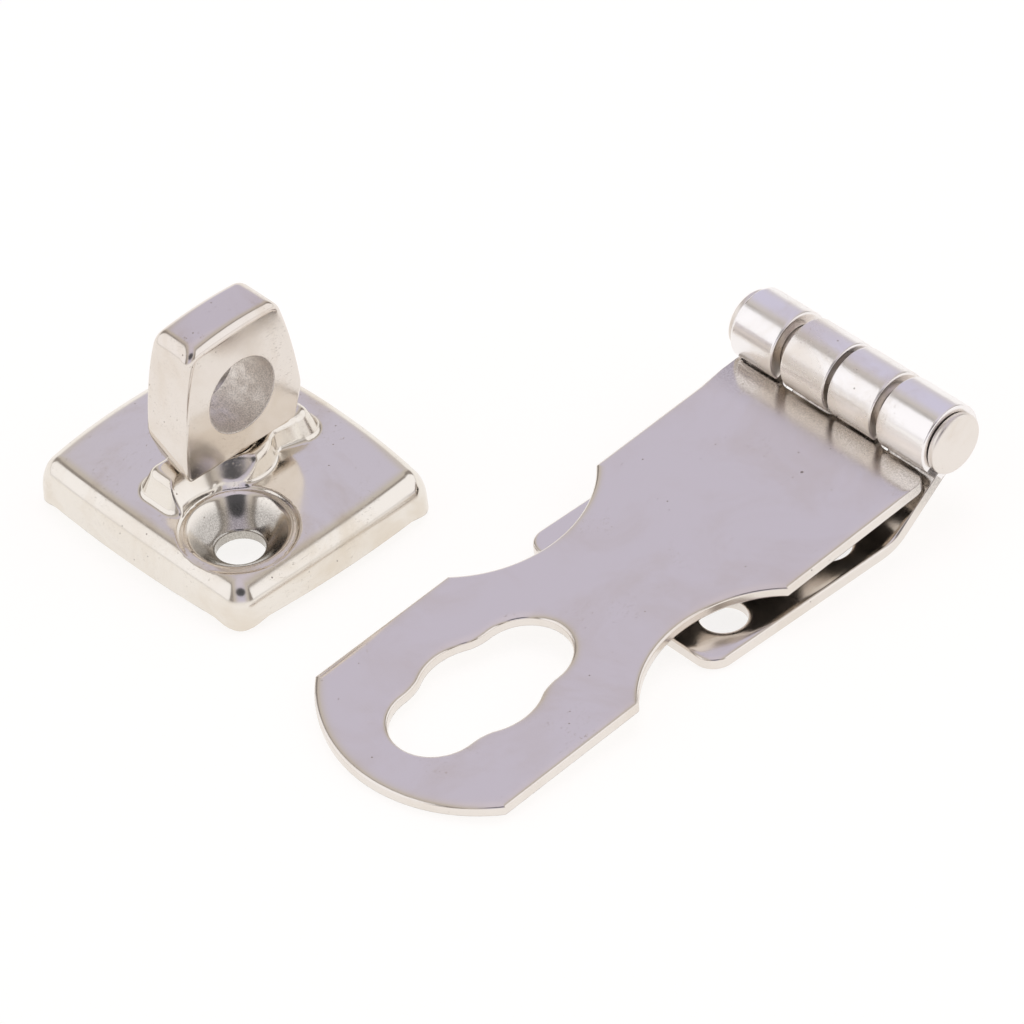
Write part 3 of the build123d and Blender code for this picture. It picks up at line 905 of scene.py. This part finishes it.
hasp_leaf()
base_leaf()
hinge_pin()
staple_base()
swivel_staple()


# ---------------------------------------------------------------- surroundings

AIM = Vector((-22.29, -8.70, -2.53)) * MM
DISTANCE = 810.2 * MM
LENS = 265.2
AZIMUTH, ELEVATION, ROLL = math.radians(50.02), math.radians(40.94), math.radians(-4.67)


def direction(azimuth, elevation):
    """Unit vector towards an azimuth, counted from the front to the right, and an elevation."""
    level = math.cos(elevation)
    return Vector((math.sin(azimuth) * level, -math.cos(azimuth) * level, math.sin(elevation)))


def camera():
    """Long lens, seen from the front right and from above, tipped slightly to one side."""
    back = direction(AZIMUTH, ELEVATION)
    made = bpy.data.objects.new("camera", bpy.data.cameras.new("camera"))
    made.data.lens = LENS
    made.data.clip_start, made.data.clip_end = 0.01, 20.0
    turn = (-back).to_track_quat("-Z", "Y").to_matrix().to_4x4() @ Matrix.Rotation(ROLL, 4, "Z")
    made.matrix_world = Matrix.Translation(AIM + back * DISTANCE) @ turn
    bpy.context.scene.collection.objects.link(made)
    bpy.context.scene.camera = made


FLOOR_HALF, FLOOR_DROP = 3.0, 0.00005
FLOOR_COLOUR, FLOOR_GLOW_COLOUR, FLOOR_GLOW = (0.24, 0.237, 0.235, 1), (1.0, 0.985, 0.97, 1), 0.83


def floor():
    """Pale, softly glowing ground, a hair below the mounting surface. Its size is in metres."""
    mesh = bpy.data.meshes.new("floor")
    half = FLOOR_HALF
    corners = [(-half, -half, 0), (half, -half, 0), (half, half, 0), (-half, half, 0)]
    mesh.from_pydata(corners, [], [(0, 1, 2, 3)])
    made = bpy.data.objects.new("floor", mesh)
    made.location = (0, 0, -FLOOR_DROP)
    material = bpy.data.materials.new("pale_floor")
    material.use_nodes = True
    feed(material.node_tree, material.node_tree.nodes["Principled BSDF"],
         {"Base Color": FLOOR_COLOUR, "Roughness": 0.9, "Specular IOR Level": 0.0,
          "Emission Color": FLOOR_GLOW_COLOUR, "Emission Strength": FLOOR_GLOW})
    mesh.materials.append(material)
    bpy.context.scene.collection.objects.link(made)


ROOF, HORIZON, ZENITH = (0.645, 0.62, 0.755, 1), (1.02, 1.0, 0.97, 1), (0.70, 0.66, 0.77, 1)
SHADE, SEAM = (0.62, 0.575, 0.53, 1), (0.30, 0.27, 0.25, 1)
PANEL, OPENING = (1.08, 1.07, 1.09, 1), (0.09, 0.09, 0.10, 1)
TENT_AZIMUTH, OPENING_ELEVATION = math.radians(50.0), math.radians(47.0)
PANEL_LEAN = 0.22


def facing(tree, where, way):
    """How nearly a direction points one way: 1 along it, 0 across it."""
    made = node(tree, "ShaderNodeVectorMath", operation="DOT_PRODUCT")
    feed(tree, made, {0: where, 1: Vector(way).normalized()})
    return made.outputs["Value"]


def sky():
    """Light tent: mauve roof and back, a dark seam and a bright panel on each side, and a dark opening."""
    world = bpy.data.worlds.new("studio")
    bpy.context.scene.world = world
    world.use_nodes = True
    tree = world.node_tree
    where = node(tree, "ShaderNodeTexCoord").outputs["Generated"]
    across = (math.cos(TENT_AZIMUTH), math.sin(TENT_AZIMUTH), 0)
    sideways = math_node(tree, "ABSOLUTE", facing(tree, where, across))
    upwards = facing(tree, where, (0, 0, 1))
    front = facing(tree, where, direction(TENT_AZIMUTH, OPENING_ELEVATION))
    colour = mix_colour(tree, ramp(tree, upwards, 0.30, 0.02), ROOF, HORIZON)
    colour = mix_colour(tree, ramp(tree, upwards, 0.80, 0.97), colour, ZENITH)
    high = ramp(tree, upwards, 0.08, 0.20)
    shade = math_node(tree, "MULTIPLY", ramp(tree, sideways, 0.12, 0.42), high)
    colour = mix_colour(tree, shade, colour, SHADE)
    seam = math_node(tree, "MULTIPLY", ramp(tree, sideways, 0.44, 0.48), high)
    colour = mix_colour(tree, seam, colour, SEAM)
    edge = math_node(tree, "MULTIPLY_ADD", upwards, PANEL_LEAN, sideways)
    panel = math_node(tree, "MULTIPLY", ramp(tree, edge, 0.70, 0.74), high)
    colour = mix_colour(tree, panel, colour, PANEL)
    colour = mix_colour(tree, ramp(tree, front, 0.938, 0.976), colour, OPENING)
    tree.links.new(colour, tree.nodes["Background"].inputs["Color"])
    tree.nodes["Background"].inputs["Strength"].default_value = 1.0


def soft_light(name, place, size, power):
    """Round lamp that faces the origin and isn't mirrored in the steel."""
    light = bpy.data.lights.new(name, "AREA")
    light.shape, light.size, light.energy = "DISK", size, power
    made = bpy.data.objects.new(name, light)
    made.location = place
    made.rotation_mode = "QUATERNION"
    made.rotation_quaternion = Vector(place).to_track_quat("Z", "Y")
    made.visible_glossy = False
    bpy.context.scene.collection.objects.link(made)


camera()
floor()
sky()
soft_light("overhead", (-0.15, 0.25, 1.1), 0.7, 1.6)
bpy.context.scene.view_settings.view_transform = "Standard"
